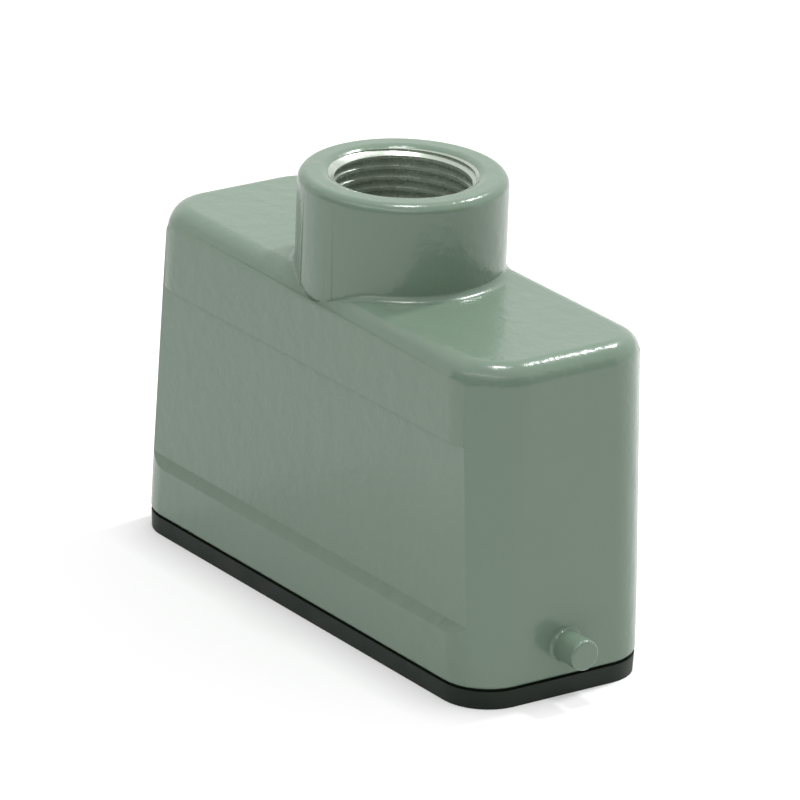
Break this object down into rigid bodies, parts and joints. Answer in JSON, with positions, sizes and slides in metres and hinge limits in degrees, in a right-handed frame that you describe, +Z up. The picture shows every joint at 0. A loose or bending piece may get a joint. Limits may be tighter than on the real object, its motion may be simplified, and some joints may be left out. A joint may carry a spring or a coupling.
{
  "type": "heavy duty rectangular connector",
  "caption": "Top-entry die-cast connector hood with locking pegs and rim seal, holding a two-row male screw-terminal contact insert with protective earth.",
  "frame": {"origin": "middle of the rim seal's foot, on the surface that the hood stands on", "axes": "+X along the hood towards one locking peg, +Y across the hood, +Z up out of the cable entry"},
  "size_m": [0.0888, 0.0294, 0.0604],
  "materials": {
    "hood_paint": "satin",
    "seal_rubber": "matte",
    "insert_plastic": "matte",
    "contact_metal": "satin",
    "plated_steel": "satin"
  },
  "bodies": {
    "root": {"hood": "hood_paint", "rim_seal": "seal_rubber", "insert_body": "insert_plastic", "terminal_screws": "plated_steel", "fixing_screws": "plated_steel", "earth_bracket_left": "plated_steel", "earth_bracket_right": "plated_steel", "earth_clamps": "plated_steel", "earth_screws": "plated_steel", "contact_a1": "contact_metal", "contact_a2": "contact_metal", "contact_a3": "contact_metal", "contact_a4": "contact_metal", "contact_a5": "contact_metal", "contact_a6": "contact_metal", "contact_a7": "contact_metal", "contact_a8": "contact_metal", "contact_b1": "contact_metal", "contact_b2": "contact_metal", "contact_b3": "contact_metal", "contact_b4": "contact_metal", "contact_b5": "contact_metal", "contact_b6": "contact_metal", "contact_b7": "contact_metal", "contact_b8": "contact_metal"}
  },
  "joints": []
}
